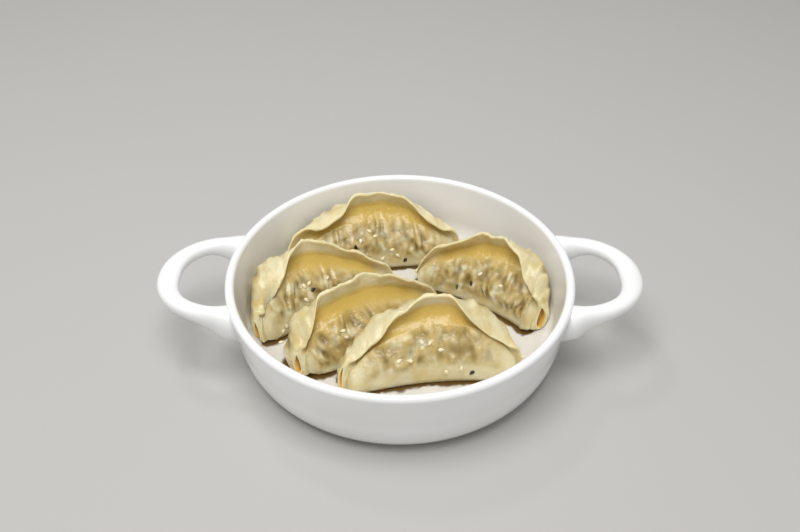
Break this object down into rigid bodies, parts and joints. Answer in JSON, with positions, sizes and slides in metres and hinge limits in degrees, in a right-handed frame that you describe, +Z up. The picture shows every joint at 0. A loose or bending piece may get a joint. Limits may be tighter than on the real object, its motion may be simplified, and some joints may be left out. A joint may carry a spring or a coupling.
{
  "type": "bowl of dumplings",
  "caption": "Round white two-handled dish with half-moon steamed dumplings lying in it, their pinched seams up, sprinkled with sesame.",
  "frame": {"origin": "centre of the dish's flat underside", "axes": "+X through the right handle, +Y toward the back, +Z up"},
  "size_m": [0.238, 0.17, 0.0426],
  "materials": {
    "dish": "glossy white glaze",
    "dumpling": "moist steamed dough"
  },
  "bodies": {
    "root": {"dish": "dish", "dumpling_front": "dumpling", "dumpling_middle": "dumpling", "dumpling_left": "dumpling", "dumpling_back": "dumpling", "dumpling_right": "dumpling"}
  },
  "joints": []
}
